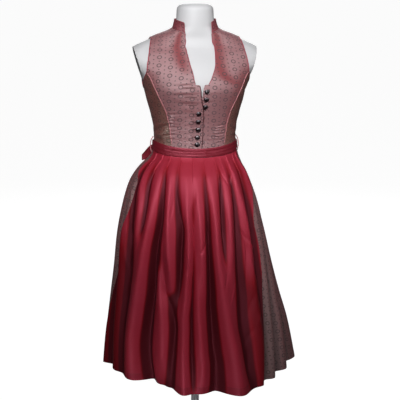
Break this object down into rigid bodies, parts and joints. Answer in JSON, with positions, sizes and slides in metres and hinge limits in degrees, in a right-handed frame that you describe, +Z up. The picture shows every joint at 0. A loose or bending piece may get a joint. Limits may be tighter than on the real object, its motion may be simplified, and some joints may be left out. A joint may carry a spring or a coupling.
{
  "type": "dirndl dress on a dress form",
  "caption": "Sleeveless midi dirndl with stand-up collar, buttoned bodice and pleated taffeta apron with a bow, standing on a limbless dress form with a round base.",
  "frame": {"origin": "centre of the underside of the base plate, on the floor", "axes": "+Z up; the dress faces -Y; the wearer's left is at +X"},
  "size_m": [0.6246, 0.6177, 1.412],
  "materials": {
    "form": "matte white jersey over a smooth shell",
    "steel": "satin white",
    "jacquard": "shot jacquard with small rings and dots, soft rose-grey sheen",
    "side_panels": "the same jacquard, darker",
    "collar": "red-brown jacquard",
    "piping": "satin piping, pale pink",
    "apron": "wine-red taffeta with a soft gloss",
    "band": "wine-red taffeta, several layers",
    "pewter": "dark pewter with a polished dome"
  },
  "bodies": {
    "root": {"form_torso": "form", "form_socket": "steel", "form_pole": "steel", "form_base": "steel", "apron": "apron", "apron_band": "band", "belt_loop_left": "jacquard", "belt_loop_right": "jacquard", "bodice_back_left": "jacquard", "bodice_back_right": "jacquard", "bodice_front_left": "jacquard", "bodice_front_right": "jacquard", "bodice_side_back_left": "side_panels", "bodice_side_back_right": "side_panels", "bodice_side_front_left": "side_panels", "bodice_side_front_right": "side_panels", "bow_knot": "band", "bow_loop_left": "apron", "bow_loop_right": "apron", "bow_tail_left": "apron", "bow_tail_right": "apron", "button_1": "pewter", "button_2": "pewter", "button_3": "pewter", "button_4": "pewter", "button_5": "pewter", "button_6": "pewter", "button_7": "pewter", "button_8": "pewter", "collar": "collar", "piping_back_left": "piping", "piping_back_right": "piping", "piping_front_left": "piping", "piping_front_right": "piping", "skirt_back_left": "jacquard", "skirt_back_right": "jacquard", "skirt_front": "jacquard", "tie_left": "band", "tie_right": "band"}
  },
  "joints": []
}
